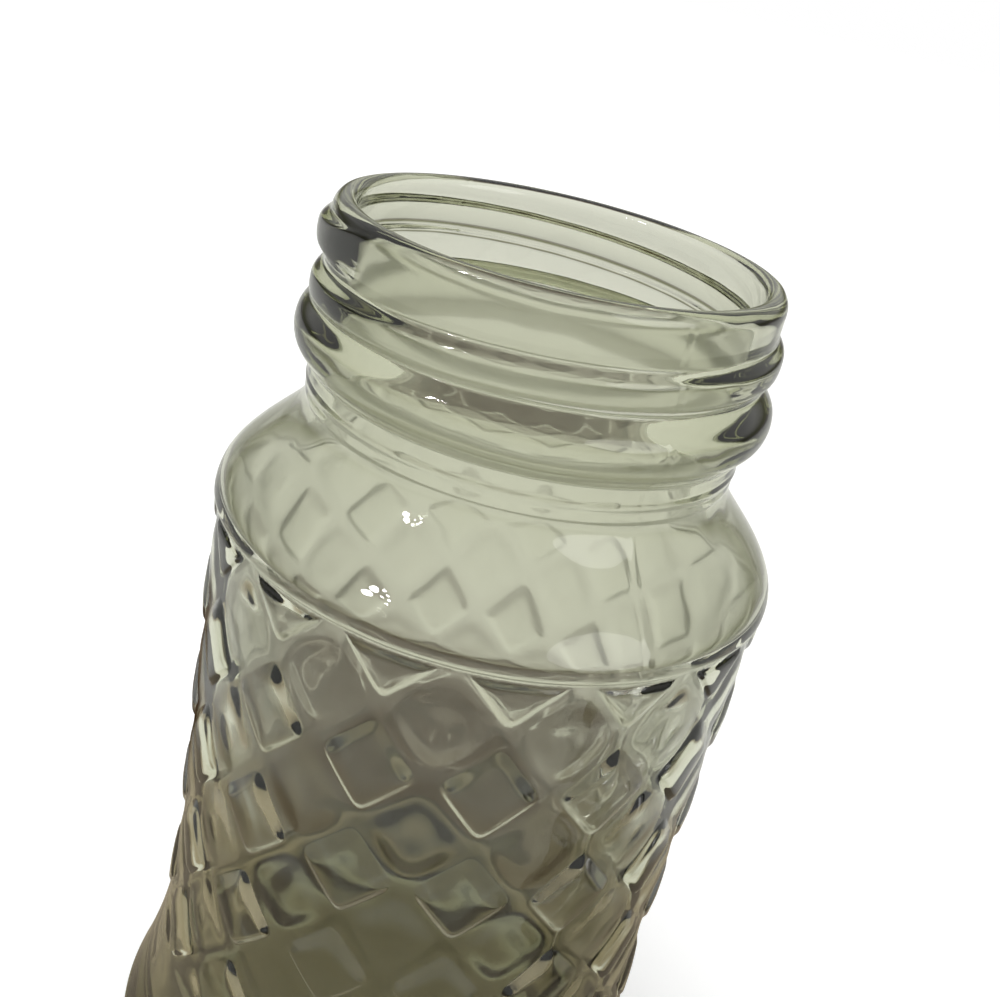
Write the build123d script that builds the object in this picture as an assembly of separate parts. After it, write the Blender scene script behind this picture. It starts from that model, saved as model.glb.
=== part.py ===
from build123d import *
import math
import os

# Syrup dispenser: a pressed-glass jar with a diamond pad pattern, standing open,
# and its screw-on pouring top taken off and lying on its side next to it.
# Millimetres, +Z up. The origin is the centre of the jar's foot, on the surface it
# stands on. The top lies on the +X side.

# ------------------------------------------------------------------ jar: sizes
jar_height = 150.0          # foot to rim
glass_wall = 3.0            # wall of the neck and the body
neck_radius = 30.0          # outside of the neck between its ridges
rim_flat = 0.2              # flat left between the two rounded edges of the rim
neck_base_drop = 26.5       # rim down to where the neck turns into the shoulder
bead_drop = 17.0            # rim down to the crest of the neck bead
bead_height = 3.0           # how far the bead stands out of the neck
bead_half_width = 4.8
neck_ring_drop = 24.2       # rim down to the fine ring at the neck's root
neck_ring_height = 0.35
neck_ring_half_width = 0.7

thread_start_drop = 4.2     # rim down to the upper end of the glass thread
thread_pitch = 6.6
thread_sweep = 430.0        # degrees that the glass thread runs round
thread_start_angle = -132.0  # degrees from +X of the thread's upper end
thread_height = 1.7
thread_half_width = 2.9
thread_runout = 40.0        # degrees over which each end of a thread dies away
thread_step = 21.5          # degrees between two sections of a thread
thread_root = 1.0           # how deep the glass thread starts inside the wall
thread_sink = 0.2           # how far a thread's ends sink below the surface

shoulder_drop = 42.0        # rim down to the lower edge of the shoulder
shoulder_overhang = 0.75    # shoulder's lower edge beyond the body under it
shoulder_step = 0.9         # height of the bevel from the shoulder to the body
body_radius = 39.6          # under the shoulder, between the pads
waist_inset = 0.4           # how far the body narrows down to its waist
waist_height = 48.0         # foot to the narrowest ring of the body
flange_swing = 6.3          # waist to the widest ring, just above the foot
flange_height = 5.0
flare_power = 2.2           # how late the body swings out to the flange
foot_ring_width = 6.5       # ring that the jar stands on
foot_recess_bevel = 3.0     # width of the slope up to the recess
foot_recess_height = 2.2
base_thickness = 4.8        # glass over the recess
floor_round = 8.0           # inside radius where the wall meets the floor

pad_columns = 16
pad_first_angle = -124.7    # degrees from +X of the first column
pad_row_pitch = 17.64
pad_row_lift = 0.44         # centre of the cut row above the shoulder's step
pad_half_width = 6.8
pad_half_height = 7.66
pad_height = 0.9            # how far a pad stands out of the body
pad_bevel = 0.6             # width of a pad's sloped edge
pad_root = 1.2              # how deep a pad's block starts inside the glass
pattern_end_height = 28.0   # foot to the lower end of the pattern
pattern_gap = 0.5           # shoulder step to the cut upper edge of the first row

# ------------------------------------------------------------ pouring top: sizes
sheet = 1.0                 # thickness of the spun and pressed metal
screw_clearance = 0.6       # glass thread crest to the collar's inner wall
collar_thread_height = 1.4
collar_thread_half_width = 1.0
collar_thread_sweep = 400.0
collar_drop_clearance = 0.9  # collar's lower edge to the glass bead
bead_roll = 0.9             # radius of the rolled beads of collar and cover
gasket_thickness = 1.6
gasket_clearance = 0.4      # gasket's edge to the collar's wall
collar_mouth_inset = 1.0    # jar's mouth to the hole in the collar's inward flange

cover_rise = 11.0           # collar's top to the flat deck
cover_bulge = 3.0           # how far the cover's flank swells from a straight cone
deck_margin = 1.9           # hinge bracket to the deck's edge

spout_height = 10.0
spout_radius_low = 14.0
spout_radius_high = 15.0
spout_tip_low = 17.0        # axis to the centre of the beak's round, at the deck
spout_tip_high = 33.0
spout_tip_round_low = 2.5
spout_tip_round_high = 2.0

seal_gap = 0.3              # spout's edge to the seal of the closed lid
seal_thickness = 1.0
seal_inset = 0.9            # lid's edge to the seal's edge
lid_thickness = 1.2
lid_overhang = 1.4          # lid's edge beyond the spout's edge
lid_crown_radius = 10.5
lid_crown_height = 1.8
lid_crown_slope = 1.6       # how far the crown draws in towards its top
lid_crown_tip_low = 2.4     # round at the crown's beak, at the lid
lid_crown_tip_high = 0.8
lid_crown_back = 2.0        # crown's centre ahead of the spout's axis
lid_open_angle = 60.0

hinge_setback = 5.0         # spout's back to the hinge's axis
pin_radius = 1.6
pin_running_gap = 0.06
pin_head_radius = 2.5
pin_head_thickness = 0.8
knuckle_wall = 1.15
ear_thickness = 1.5
ear_round = 3.6
ear_inner = 8.0             # half the space between the ears
side_gap = 0.3              # knuckle's ends to what they turn beside
bracket_thickness = 1.2
bracket_half_length = 3.6
bracket_rivet_offset = 5.0
rivet_radius = 1.0
rivet_head_radius = 1.7
rivet_head_height = 0.8

spring_wire = 0.8
spring_space = 4.0          # room for the coil between knuckle and ear
spring_turns = 3.0
spring_play = 0.25          # coil's inside to the pin, and its ends to their seats

lever_thickness = 1.4
lever_foot_length = 5.5
lever_foot_front = 10.0     # axis of the top to the foot's front edge
lever_clearance = 0.69      # knuckle to the lever's hump over it
lever_hump_front = 1.5      # hump's front edge ahead of the hinge's axis
lever_bend = 6.0            # hinge's axis to where the lever bends and widens
lever_bend_rise = 0.9
lever_reach = 46.0          # axis of the top to the lever's free edge
lever_lift = 3.6            # hump to the free edge
lever_half_width = 5.0
lever_rivet_offset = 3.0
thumb_half_width = 8.5
thumb_pad_length = 15.0
thumb_pad_thickness = 2.4
thumb_pad_ribs = 4

saddle_thickness = 1.4
saddle_half_angle = 16.0
saddle_margin = 1.2         # saddle's edges to the collar's beads
tang_thickness = 2.0
arm_height = 9.0
finger_reach = 70.0         # axis of the top to the inner face of the grip
grip_depth = 12.0
grip_width = 18.0
grip_top = 12.0             # above the collar's lower edge
grip_length = 84.0
grip_end_flat = 1.0         # flat left between the two rounds of a grip's end
grip_round_step = 1.0       # round of a grip's end less that of its long edges
arm_margin = 0.6            # arm's top edge below the saddle's
grip_rivet_radius = 2.0
grip_rivet_inset = 16.0     # ends of the grip to its rivets
grip_rivet_sink = 0.2       # rivet's face below the scale's face

top_gap = 18.0              # clear floor between the jar's flange and the collar
top_y = -66.0               # the collar's lower edge, in front of the jar

# -------------------------------------------------------------- derived values
rim_round = (glass_wall - rim_flat) / 2
shoulder_radius = body_radius + shoulder_overhang
waist_radius = body_radius - waist_inset
flange_radius = waist_radius + flange_swing
foot_recess_radius = flange_radius - flange_height - foot_ring_width
mouth_radius = neck_radius - glass_wall
pattern_top = jar_height - shoulder_drop - shoulder_step
floor_height = foot_recess_height + base_thickness
pad_rows = int((pattern_top + pad_row_lift - pattern_end_height) // pad_row_pitch)

collar_inner = neck_radius + thread_height + screw_clearance
collar_outer = collar_inner + sheet
roll_radius = collar_outer + bead_roll
collar_mouth_radius = mouth_radius - collar_mouth_inset
# The collar's inner edge stops this far above the bead, measured on the bead's arc.
bead_arc = (bead_height**2 + bead_half_width**2) / (2 * bead_height)
bead_centre = neck_radius + bead_height - bead_arc
collar_depth = (
    bead_drop
    - math.sqrt(bead_arc**2 - (collar_inner - bead_centre) ** 2)
    - collar_drop_clearance
)
collar_height = collar_depth + gasket_thickness + sheet
hinge_x = spout_radius_high + hinge_setback
deck_radius = hinge_x + bracket_half_length + deck_margin
deck_z = collar_height + cover_rise
spout_z = deck_z + spout_height
seal_z = spout_z + seal_gap
lid_z = seal_z + seal_thickness
hinge_z = lid_z + lid_thickness / 2
knuckle_radius = pin_radius + pin_running_gap + knuckle_wall
lever_rise = knuckle_radius + lever_clearance - lid_thickness / 2
knuckle_low = -ear_inner + side_gap
knuckle_high = ear_inner - spring_space
grip_outer = finger_reach + grip_depth
grip_end_round = (grip_depth - grip_end_flat) / 2
grip_edge_round = grip_end_round - grip_round_step

# The top lies on the collar's and cover's beads and on the rounded edge of one grip
# scale. This is how far the handle dips below the level of the top's axis.
dip_x = grip_outer - grip_edge_round
dip_y = grip_width / 2 - grip_edge_round
lying_angle = math.degrees(
    math.asin((roll_radius - grip_edge_round) / math.hypot(dip_x, dip_y))
    - math.atan2(dip_y, dip_x)
)
top_x = flange_radius + top_gap + roll_radius
lying_rad = math.radians(lying_angle)
top_plane = Plane(
    origin=(top_x, top_y, roll_radius),
    x_dir=(math.cos(lying_rad), 0, -math.sin(lying_rad)),
    z_dir=(0, 1, 0),
)


# --------------------------------------------------------------------- helpers
def smooth(s):
    """S-curve from 0 to 1 for s from 0 to 1."""
    s = min(max(s, 0.0), 1.0)
    return s * s * (3 - 2 * s)


def rz(radius, height):
    """Point of a turned profile, in the XZ plane."""
    return (radius, 0, height)


def turned(edges):
    """Solid of revolution about Z of the closed outline that the edges make."""
    return revolve(make_face(Wire.combine(edges)[0]), axis=Axis.Z)


def arc_through(start, middle, end):
    """Arc of a turned profile through three (radius, height) pairs."""
    return ThreePointArc(rz(*start), rz(*middle), rz(*end))


def cylinder_between(radius, start, direction, length):
    """Cylinder from a start point along a direction."""
    return Plane(origin=start, z_dir=direction) * Cylinder(
        radius, length, align=(Align.CENTER, Align.CENTER, Align.MIN)
    )


def teardrop(centre_x, radius, tip, tip_round, height):
    """Face at a height: a circle drawn out to a small round at x = -tip."""
    gap = centre_x + tip
    beta = math.acos((radius - tip_round) / gap)
    cx, sx = math.cos(math.pi - beta), math.sin(math.pi - beta)
    big = [(centre_x + radius * cx, s * radius * sx, height) for s in (1, -1)]
    small = [(-tip + tip_round * cx, s * tip_round * sx, height) for s in (1, -1)]
    edges = [
        ThreePointArc(big[1], (centre_x + radius, 0, height), big[0]),
        Line(big[0], small[0]),
        ThreePointArc(small[0], (-tip - tip_round, 0, height), small[1]),
        Line(small[1], big[1]),
    ]
    return make_face(Wire.combine(edges)[0])


def thread_ridge(wall_radius, root, height, half_width, start_deg, start_z, sweep):
    """Screw ridge on a cylinder wall: it falls as it runs clockwise seen from above.

    A positive height stands outwards, a negative one inwards. The section is a flat
    arc, rooted inside the wall, that sinks below the surface at both ends.
    """
    outward = 1 if height > 0 else -1
    count = max(8, round(sweep / thread_step))
    sections = []
    for i in range(count + 1):
        turned_by = sweep * i / count
        fade = min(turned_by, sweep - turned_by) / thread_runout
        crest = wall_radius - outward * thread_sink
        crest += (height + outward * thread_sink) * smooth(fade)
        phi = math.radians(start_deg - turned_by)
        plane = Plane(
            origin=(0, 0, start_z - thread_pitch * turned_by / 360),
            x_dir=(math.cos(phi), math.sin(phi), 0),
            z_dir=(math.sin(phi), -math.cos(phi), 0),
        )
        base = wall_radius - outward * root
        arc = ThreePointArc((base, -half_width), (crest, 0), (base, half_width))
        outline = Wire.combine([arc, Line((base, half_width), (base, -half_width))])[0]
        sections.append(plane * make_face(outline))
    return loft(sections)


def extruded_xz(points, y_low, y_high):
    """Prism between two Y levels over an outline given as (x, z) pairs."""
    corners = [(x, y_low, z) for x, z in points]
    face = make_face(Wire.combine(Polyline(*corners, close=True).edges())[0])
    return extrude(face, amount=y_high - y_low, dir=(0, 1, 0))


# ------------------------------------------------------------------------- jar
def outer_radius(z):
    """Outside of the glass between the pads, from the flange to the pattern's top."""
    if z >= waist_height:
        share = (z - waist_height) / (pattern_top - waist_height)
        return waist_radius + (body_radius - waist_radius) * share
    share = (waist_height - z) / (waist_height - flange_height)
    return waist_radius + (flange_radius - waist_radius) * share**flare_power


def body_heights(low, high, count=14):
    """Evenly spaced heights from low to high."""
    return [low + (high - low) * i / count for i in range(count + 1)]


def shoulder_point(share, offset=0.0):
    """Point (radius, height) on the shoulder's S-curve, moved inwards by offset."""
    rise = shoulder_drop - neck_base_drop
    radius = neck_radius + (shoulder_radius - neck_radius) * smooth(share)
    height = jar_height - neck_base_drop - rise * share
    slope = (shoulder_radius - neck_radius) * 6 * share * (1 - share) / rise
    length = math.hypot(1, slope)
    return (radius - offset / length, height - offset * slope / length)


def glass_shell():
    """The jar without its pads and its thread, turned from one closed profile."""
    neck_base = jar_height - neck_base_drop
    bead_z = jar_height - bead_drop
    ring_z = jar_height - neck_ring_drop
    rim_z = jar_height - rim_round
    diagonal = rim_round * math.sqrt(0.5)
    heel = flange_height
    recess_edge = foot_recess_radius - foot_recess_bevel
    shoulder_end = jar_height - shoulder_drop
    inner_low = floor_height + floor_round
    inner_wall = outer_radius(inner_low) - glass_wall
    outside = [
        Line(rz(0, foot_recess_height), rz(recess_edge, foot_recess_height)),
        Line(rz(recess_edge, foot_recess_height), rz(foot_recess_radius, 0)),
        Line(rz(foot_recess_radius, 0), rz(flange_radius - heel, 0)),
        arc_through(
            (flange_radius - heel, 0),
            (flange_radius - heel * (1 - math.sqrt(0.5)), heel * (1 - math.sqrt(0.5))),
            (flange_radius, heel),
        ),
        Spline(*[rz(outer_radius(z), z) for z in body_heights(heel, pattern_top)]),
        Line(rz(body_radius, pattern_top), rz(shoulder_radius, shoulder_end)),
        Spline(*[rz(*shoulder_point(1 - i / 8)) for i in range(9)]),
        Line(rz(neck_radius, neck_base), rz(neck_radius, ring_z - neck_ring_half_width)),
        arc_through(
            (neck_radius, ring_z - neck_ring_half_width),
            (neck_radius + neck_ring_height, ring_z),
            (neck_radius, ring_z + neck_ring_half_width),
        ),
        Line(
            rz(neck_radius, ring_z + neck_ring_half_width),
            rz(neck_radius, bead_z - bead_half_width),
        ),
        arc_through(
            (neck_radius, bead_z - bead_half_width),
            (neck_radius + bead_height, bead_z),
            (neck_radius, bead_z + bead_half_width),
        ),
        Line(rz(neck_radius, bead_z + bead_half_width), rz(neck_radius, rim_z)),
    ]
    rim = [
        arc_through(
            (neck_radius, rim_z),
            (neck_radius - rim_round + diagonal, rim_z + diagonal),
            (neck_radius - rim_round, jar_height),
        ),
        Line(
            rz(neck_radius - rim_round, jar_height),
            rz(mouth_radius + rim_round, jar_height),
        ),
        arc_through(
            (mouth_radius + rim_round, jar_height),
            (mouth_radius + rim_round - diagonal, rim_z + diagonal),
            (mouth_radius, rim_z),
        ),
    ]
    inner_shoulder = [shoulder_point(i / 8, glass_wall) for i in range(9)]
    inner_body = [
        (outer_radius(z) - glass_wall, z)
        for z in reversed(body_heights(inner_low, pattern_top - 2 * glass_wall))
    ]
    floor_diagonal = floor_round * (1 - math.sqrt(0.5))
    inside = [
        Line(rz(mouth_radius, rim_z), rz(*inner_shoulder[0])),
        Spline(*[rz(*p) for p in inner_shoulder]),
        Line(rz(*inner_shoulder[-1]), rz(*inner_body[0])),
        Spline(*[rz(*p) for p in inner_body]),
        arc_through(
            (inner_wall, inner_low),
            (inner_wall - floor_diagonal, floor_height + floor_diagonal),
            (inner_wall - floor_round, floor_height),
        ),
        Line(rz(inner_wall - floor_round, floor_height), rz(0, floor_height)),
        Line(rz(0, floor_height), rz(0, foot_recess_height)),
    ]
    return turned(outside + rim + inside)


def pad_envelope():
    """Solid of revolution that the pads' faces lie on."""
    top = pattern_top - pattern_gap
    low = pattern_end_height - pad_half_height
    skin = [rz(outer_radius(z) + pad_height, z) for z in body_heights(low, top)]
    return turned(
        [
            Line(rz(0, low), skin[0]),
            Spline(*skin),
            Line(skin[-1], rz(0, top)),
            Line(rz(0, top), rz(0, low)),
        ]
    )


def pad_block(z):
    """Tapered diamond block that points along +X at a height."""
    radius = outer_radius(z)
    inradius = pad_half_width * pad_half_height
    inradius /= math.hypot(pad_half_width, pad_half_height)
    sections = []
    for out in (-pad_root, pad_height * 2):
        scale = 1 - pad_bevel * out / pad_height / inradius
        plane = Plane(origin=(radius + out, 0, z), x_dir=(0, 1, 0), z_dir=(1, 0, 0))
        w, h = pad_half_width * scale, pad_half_height * scale
        sections.append(plane * Polygon((w, 0), (0, h), (-w, 0), (0, -h), align=None))
    return loft(sections, ruled=True)


def glass_pads():
    """All raised pads: full rows and the cut row under the shoulder."""
    envelope = pad_envelope()
    pads = []
    for row in range(pad_rows + 1):
        z = pattern_top + pad_row_lift - row * pad_row_pitch
        pad = pad_block(z) & envelope
        for column in range(pad_columns):
            turn = pad_first_angle + column * 360 / pad_columns
            pads.extend((Rot(0, 0, turn) * pad).solids())
    return pads


def make_jar():
    """Glass jar with its thread and pads fused on."""
    thread = thread_ridge(
        neck_radius,
        thread_root,
        thread_height,
        thread_half_width,
        thread_start_angle,
        jar_height - thread_start_drop,
        thread_sweep,
    )
    return glass_shell().fuse(thread, *glass_pads())


# ----------------------------------------------------------------- pouring top
# The pieces of the top are made upright, seen from its own axis: z = 0 is the
# collar's lower edge, the beak points to -X and the handle to +X.
def make_collar():
    """Threaded skirt with a rolled lower bead and an inward flange."""
    skirt = turned(
        [
            Line(rz(collar_inner, 0), rz(collar_outer, 0)),
            arc_through(
                (collar_outer, 0), (roll_radius, bead_roll), (collar_outer, 2 * bead_roll)
            ),
            Line(rz(collar_outer, 2 * bead_roll), rz(collar_outer, collar_height)),
            Line(rz(collar_outer, collar_height), rz(collar_mouth_radius, collar_height)),
            Line(
                rz(collar_mouth_radius, collar_height),
                rz(collar_mouth_radius, collar_height - sheet),
            ),
            Line(
                rz(collar_mouth_radius, collar_height - sheet),
                rz(collar_inner, collar_height - sheet),
            ),
            Line(rz(collar_inner, collar_height - sheet), rz(collar_inner, 0)),
        ]
    )
    ridge = thread_ridge(
        collar_inner,
        sheet / 2,
        -collar_thread_height,
        collar_thread_half_width,
        thread_start_angle,
        collar_depth - thread_start_drop,
        collar_thread_sweep,
    )
    return skirt.fuse(ridge)


def make_gasket():
    """Ring under the collar's flange that seals on the glass rim."""
    outer = Cylinder(collar_inner - gasket_clearance, gasket_thickness)
    ring = outer - Cylinder(collar_mouth_radius, gasket_thickness)
    return Pos(0, 0, collar_height - sheet - gasket_thickness / 2) * ring


def make_cover():
    """Domed cover on the collar, with a flat deck and the throat cut through it."""
    seam = collar_height + 2 * bead_roll
    flank_low, flank_high = (collar_outer, seam), (deck_radius, deck_z)
    bulge = cover_bulge * math.sqrt(0.5)
    middle = (
        (flank_low[0] + flank_high[0]) / 2 + bulge,
        (flank_low[1] + flank_high[1]) / 2 + bulge,
    )
    body = turned(
        [
            Line(rz(collar_outer - sheet, collar_height), rz(collar_outer, collar_height)),
            arc_through(
                (collar_outer, collar_height),
                (roll_radius, collar_height + bead_roll),
                flank_low,
            ),
            arc_through(flank_low, middle, flank_high),
            Line(rz(*flank_high), rz(0, deck_z)),
            Line(rz(0, deck_z), rz(0, deck_z - sheet)),
            Line(rz(0, deck_z - sheet), rz(deck_radius - sheet / 2, deck_z - sheet)),
            arc_through(
                (deck_radius - sheet / 2, deck_z - sheet),
                (middle[0] - sheet * 0.7, middle[1] - sheet * 0.7),
                (collar_outer - sheet, seam),
            ),
            Line(
                rz(collar_outer - sheet, seam), rz(collar_outer - sheet, collar_height)
            ),
        ]
    )
    throat = extrude(spout_face(0, sheet), amount=-2 * sheet, dir=(0, 0, 1))
    cover = body - throat
    for y in (-bracket_rivet_offset, bracket_rivet_offset):
        start = (hinge_x, y, deck_z - 2 * sheet)
        cover -= cylinder_between(rivet_radius, start, (0, 0, 1), 3 * sheet)
    return cover


def spout_face(share, inset, height=None):
    """Outline of the spout, share 0 at the deck to 1 at its edge, moved inwards."""
    radius = spout_radius_low + (spout_radius_high - spout_radius_low) * share
    tip = spout_tip_low + (spout_tip_high - spout_tip_low) * share
    tip_round = spout_tip_round_low
    tip_round += (spout_tip_round_high - spout_tip_round_low) * share
    z = deck_z + spout_height * share if height is None else height
    return teardrop(0, radius - inset, tip, tip_round - inset, z)


def make_spout():
    """Teardrop pouring wall that stands on the deck and leans out to its beak."""
    outer = loft([spout_face(0, 0), spout_face(1, 0)], ruled=True)
    inner = loft([spout_face(0, sheet), spout_face(1, sheet)], ruled=True)
    return outer - inner


def make_seal():
    """Soft sheet under the lid."""
    face = spout_face(1, seal_inset - lid_overhang, seal_z)
    return extrude(face, amount=seal_thickness, dir=(0, 0, 1))


def make_lid():
    """Lid plate with a pressed crown and the knuckle that turns on the pin."""
    plate = extrude(spout_face(1, -lid_overhang, lid_z), lid_thickness, dir=(0, 0, 1))
    top = lid_z + lid_thickness
    tip = spout_tip_high - 2 * lid_crown_back
    crown = loft(
        [
            teardrop(-lid_crown_back, lid_crown_radius, tip, lid_crown_tip_low, top),
            teardrop(
                -lid_crown_back,
                lid_crown_radius - lid_crown_slope,
                tip - lid_crown_slope,
                lid_crown_tip_high,
                top + lid_crown_height,
            ),
        ],
        ruled=True,
    )
    tongue = extruded_xz(
        [
            (spout_radius_high / 2, lid_z),
            (hinge_x, lid_z),
            (hinge_x, top),
            (spout_radius_high / 2, top),
        ],
        knuckle_low,
        knuckle_high,
    )
    start = (hinge_x, knuckle_low, hinge_z)
    length = knuckle_high - knuckle_low
    lid = plate.fuse(crown, tongue)
    lid = lid.fuse(cylinder_between(knuckle_radius, start, (0, 1, 0), length))
    bore = cylinder_between(pin_radius + pin_running_gap, start, (0, 1, 0), length)
    lid = lid - bore
    for y in (-lever_rivet_offset, lever_rivet_offset):
        start = (lever_rivet_x(), y, lid_z)
        lid -= cylinder_between(rivet_radius, start, (0, 0, 1), lid_thickness)
    return lid


def make_bracket():
    """Base plate riveted to the deck, with two ears that hold the hinge pin."""
    plate_top = deck_z + bracket_thickness
    front, back = hinge_x - bracket_half_length, hinge_x + bracket_half_length
    outer = ear_inner + ear_thickness
    plate = [(front, deck_z), (back, deck_z), (back, plate_top), (front, plate_top)]
    bracket = extruded_xz(plate, -outer, outer)
    for low in (-outer, ear_inner):
        high = low + ear_thickness
        post = [(front, deck_z), (back, deck_z), (back, hinge_z), (front, hinge_z)]
        ear = extruded_xz(post, low, high).fuse(
            cylinder_between(ear_round, (hinge_x, low, hinge_z), (0, 1, 0), ear_thickness)
        )
        bracket = bracket.fuse(ear)
    start = (hinge_x, -outer, hinge_z)
    bracket -= cylinder_between(pin_radius, start, (0, 1, 0), 2 * outer)
    for y in (-bracket_rivet_offset, bracket_rivet_offset):
        start = (hinge_x, y, deck_z)
        bracket -= cylinder_between(rivet_radius, start, (0, 0, 1), bracket_thickness)
    return bracket


def make_rivet(x, y, low, high, head_below):
    """Upright rivet: a shank between two levels, a head on top, and one below."""
    shank = cylinder_between(rivet_radius, (x, y, low), (0, 0, 1), high - low)
    head = cylinder_between(rivet_head_radius, (x, y, high), (0, 0, 1), rivet_head_height)
    head = chamfer(head.edges().group_by(Axis.Z)[-1], rivet_head_height / 2)
    rivet = shank.fuse(head)
    if head_below:
        rivet = rivet.fuse(
            cylinder_between(
                rivet_head_radius, (x, y, low), (0, 0, -1), rivet_head_height
            )
        )
    return rivet


def make_pin():
    """Hinge pin, fixed in the ears, with a head at each end."""
    outer = ear_inner + ear_thickness
    length = 2 * (outer + pin_head_thickness)
    start = (hinge_x, -length / 2, hinge_z)
    pin = cylinder_between(pin_radius, start, (0, 1, 0), length)
    for side in (-1, 1):
        face = (hinge_x, side * outer, hinge_z)
        head = cylinder_between(pin_head_radius, face, (0, side, 0), pin_head_thickness)
        pin = pin.fuse(head)
    return pin


def make_spring():
    """Torsion coil round the pin, between the knuckle's end and one ear."""
    radius = pin_radius + spring_play + spring_wire / 2
    room = spring_space - 2 * spring_play - spring_wire
    pitch = room / spring_turns
    start = knuckle_high + spring_play + spring_wire / 2
    path = Helix(pitch, room, radius, center=(0, 0, 0))
    section = Plane(origin=path @ 0, z_dir=path % 0) * Circle(spring_wire / 2)
    coil = sweep(section, path=path, is_frenet=True)
    axis = Plane(origin=(hinge_x, start, hinge_z), x_dir=(1, 0, 0), z_dir=(0, 1, 0))
    return axis * coil


def lever_rivet_x():
    """Where the lever's foot is riveted to the lid."""
    return lever_foot_front + lever_foot_length / 2


def lever_line():
    """Underside of the thumb lever as (x, z) pairs, from its foot to its free edge."""
    foot = lid_z + lid_thickness
    hump = foot + lever_rise
    return [
        (lever_foot_front, foot),
        (lever_foot_front + lever_foot_length, foot),
        (hinge_x - lever_hump_front, hump),
        (hinge_x + lever_bend, hump + lever_bend_rise),
        (lever_reach, hump + lever_lift),
    ]


def make_lever():
    """Bent thumb lever riveted to the lid, wider where the thumb rests."""
    under = lever_line()
    over = [(x, z + lever_thickness) for x, z in under]
    lever = extruded_xz(under + over[::-1], -lever_half_width, lever_half_width)
    wide = under[3:] + over[:2:-1]
    lever = lever.fuse(extruded_xz(wide, -thumb_half_width, thumb_half_width))
    for y in (-lever_rivet_offset, lever_rivet_offset):
        start = (lever_rivet_x(), y, lid_z)
        lever -= cylinder_between(rivet_radius, start, (0, 0, 1), 2 * lever_thickness)
    return lever


def make_thumb_pad():
    """Ribbed grip on top of the lever's free end."""
    (x0, z0), (x1, z1) = lever_line()[3:]
    slope = (z1 - z0) / (x1 - x0)
    start = x1 - thumb_pad_length

    def top_of_lever(x):
        return z0 + (x - x0) * slope + lever_thickness

    outline = [(start, top_of_lever(start)), (x1, top_of_lever(x1))]
    pitch = thumb_pad_length / thumb_pad_ribs
    for i in range(thumb_pad_ribs):
        back = x1 - i * pitch
        front = back - pitch
        outline.append((back - pitch * 0.15, top_of_lever(back) + thumb_pad_thickness))
        outline.append((front + pitch * 0.35, top_of_lever(front) + thumb_pad_thickness))
        outline.append((front + pitch * 0.1, top_of_lever(front) + thumb_pad_thickness / 2))
    return extruded_xz(outline, -thumb_half_width, thumb_half_width)


# ---------------------------------------------------------------------- handle
def make_saddle():
    """Curved plate welded to the collar's wall, which carries the handle."""
    low = 2 * bead_roll + saddle_margin
    high = collar_height - saddle_margin
    ring = Cylinder(collar_outer + saddle_thickness, high - low) - Cylinder(
        collar_outer, high - low
    )
    ring = Pos(0, 0, (low + high) / 2) * ring
    reach = 2 * roll_radius
    half = math.radians(saddle_half_angle)
    wedge = extrude(
        make_face(
            Wire.combine(
                Polyline(
                    (0, 0, low),
                    (reach * math.cos(half), reach * math.sin(half), low),
                    (reach * math.cos(half), -reach * math.sin(half), low),
                    close=True,
                ).edges()
            )[0]
        ),
        amount=high - low,
        dir=(0, 0, 1),
    )
    return ring & wedge


def grip_outline(y):
    """Face of the grip's side view at a Y level, with rounded ends."""
    low = grip_top - grip_length
    middle = ((finger_reach + grip_outer) / 2, y, (low + grip_top) / 2)
    plane = Plane(origin=middle, x_dir=(1, 0, 0), z_dir=(0, -1, 0))
    return plane * RectangleRounded(grip_depth, grip_length, grip_end_round)


def grip_rivet_points():
    """(x, z) of the two grip rivets, upper one first."""
    x = (finger_reach + grip_outer) / 2
    low = grip_top - grip_length
    return [(x, grip_top - grip_rivet_inset), (x, low + grip_rivet_inset)]


def make_tang():
    """Flat steel core: the arm from the saddle and the tang between the scales."""
    half = tang_thickness / 2
    grip = extrude(grip_outline(half), amount=tang_thickness, dir=(0, -1, 0))
    arm_top = collar_height - saddle_margin - arm_margin
    arm_top = min(arm_top, grip_top - sheet)
    arm = extruded_xz(
        [
            (collar_outer, arm_top - arm_height),
            (finger_reach + grip_depth / 2, arm_top - arm_height),
            (finger_reach + grip_depth / 2, arm_top),
            (collar_outer, arm_top),
        ],
        -half,
        half,
    )
    tang = grip.fuse(arm)
    seat = Cylinder(collar_outer + saddle_thickness, 4 * collar_height)
    tang = tang - seat
    for x, z in grip_rivet_points():
        tang -= cylinder_between(grip_rivet_radius, (x, -half, z), (0, 1, 0), 2 * half)
    return tang


def make_scale(side):
    """One plastic grip scale on a side of the tang, rounded outside."""
    inner = side * tang_thickness / 2
    depth = (grip_width - tang_thickness) / 2
    scale = extrude(grip_outline(inner), amount=depth, dir=(0, side, 0))
    outer_face = scale.faces().sort_by(Axis.Y)[-1 if side > 0 else 0]
    scale = fillet(outer_face.edges(), grip_edge_round)
    for x, z in grip_rivet_points():
        scale -= cylinder_between(grip_rivet_radius, (x, inner, z), (0, side, 0), depth)
    return scale


def make_grip_rivet(point):
    """Rivet through both scales and the tang."""
    x, z = point
    half = grip_width / 2 - grip_rivet_sink
    return cylinder_between(grip_rivet_radius, (x, -half, z), (0, 1, 0), 2 * half)


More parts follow.
